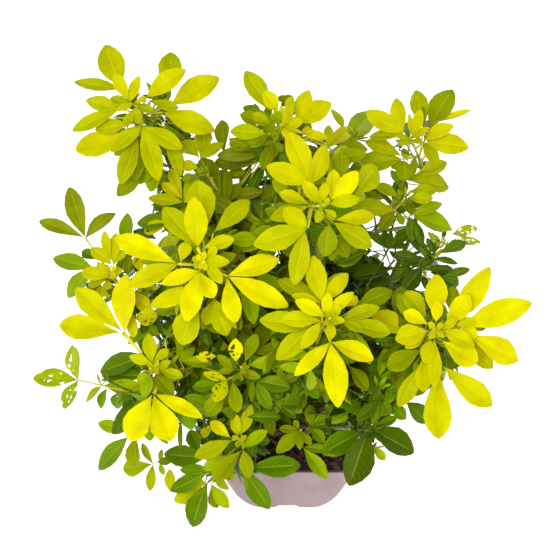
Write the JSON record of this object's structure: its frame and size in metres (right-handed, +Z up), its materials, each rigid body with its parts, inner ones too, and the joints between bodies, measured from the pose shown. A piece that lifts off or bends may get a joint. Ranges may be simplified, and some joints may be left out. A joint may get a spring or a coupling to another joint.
{
  "type": "potted mexican orange shrub",
  "caption": "Evergreen shrub with golden, lime and green leaves of three leaflets, in a shallow rectangular ceramic tray pot.",
  "frame": {"origin": "middle of the pot's flat underside", "axes": "+Z up, -Y the front from which the picture was taken, +X the plant's right as seen from the front"},
  "size_m": [0.5217, 0.4417, 0.5259],
  "materials": {
    "pot": "matte, pale mauve, faintly mottled and speckled",
    "soil": "damp dark brown bark chips and compost",
    "bark": "brown bark, smooth and greener on young boughs",
    "gold": "soft gloss, golden yellow",
    "lime": "soft gloss, lime green",
    "green": "soft gloss, mid green",
    "deep": "gloss, dark green"
  },
  "bodies": {
    "root": {"pot": "pot", "soil": "soil", "stem": "bark", "bough_top_middle": "bark", "bough_left_top": "bark", "bough_right_top": "bark", "bough_left_middle": "bark", "bough_middle": "bark", "bough_right": "bark", "bough_left_low": "bark", "bough_low_left": "bark", "bough_low_right": "bark", "bough_soil_shoot": "bark", "bough_back_high": "bark", "bough_back_low_left": "bark", "bough_back_low": "bark", "bough_upper_middle": "bark", "bough_top_back": "bark", "bough_back_top": "bark", "bough_left_back": "bark", "bough_right_upper": "bark", "bough_right_dark": "bark", "bough_left": "bark", "bough_low_middle": "bark", "bough_inner_right": "bark", "bough_right_low": "bark", "bough_left_upper": "bark", "bough_far_left": "bark", "bough_front_low": "bark", "bough_back_left": "bark", "bough_back_right": "bark", "foliage_top_middle": "gold", "foliage_left_top": "gold", "foliage_right_top": "gold", "foliage_left_middle": "gold", "foliage_middle": "gold", "foliage_right": "gold", "foliage_left_low": "green", "foliage_low_left": "green", "foliage_low_right": "deep", "foliage_soil_shoot": "lime", "foliage_back_high": "lime", "foliage_back_low_left": "green", "foliage_back_low": "green", "foliage_upper_middle": "gold", "foliage_top_back": "lime", "foliage_back_top": "lime", "foliage_left_back": "lime", "foliage_right_upper": "lime", "foliage_right_dark": "deep", "foliage_left": "gold", "foliage_low_middle": "lime", "foliage_inner_right": "deep", "foliage_right_low": "green", "foliage_left_upper": "lime", "foliage_far_left": "green", "foliage_front_low": "lime", "foliage_back_left": "lime", "foliage_back_right": "green"}
  },
  "joints": []
}
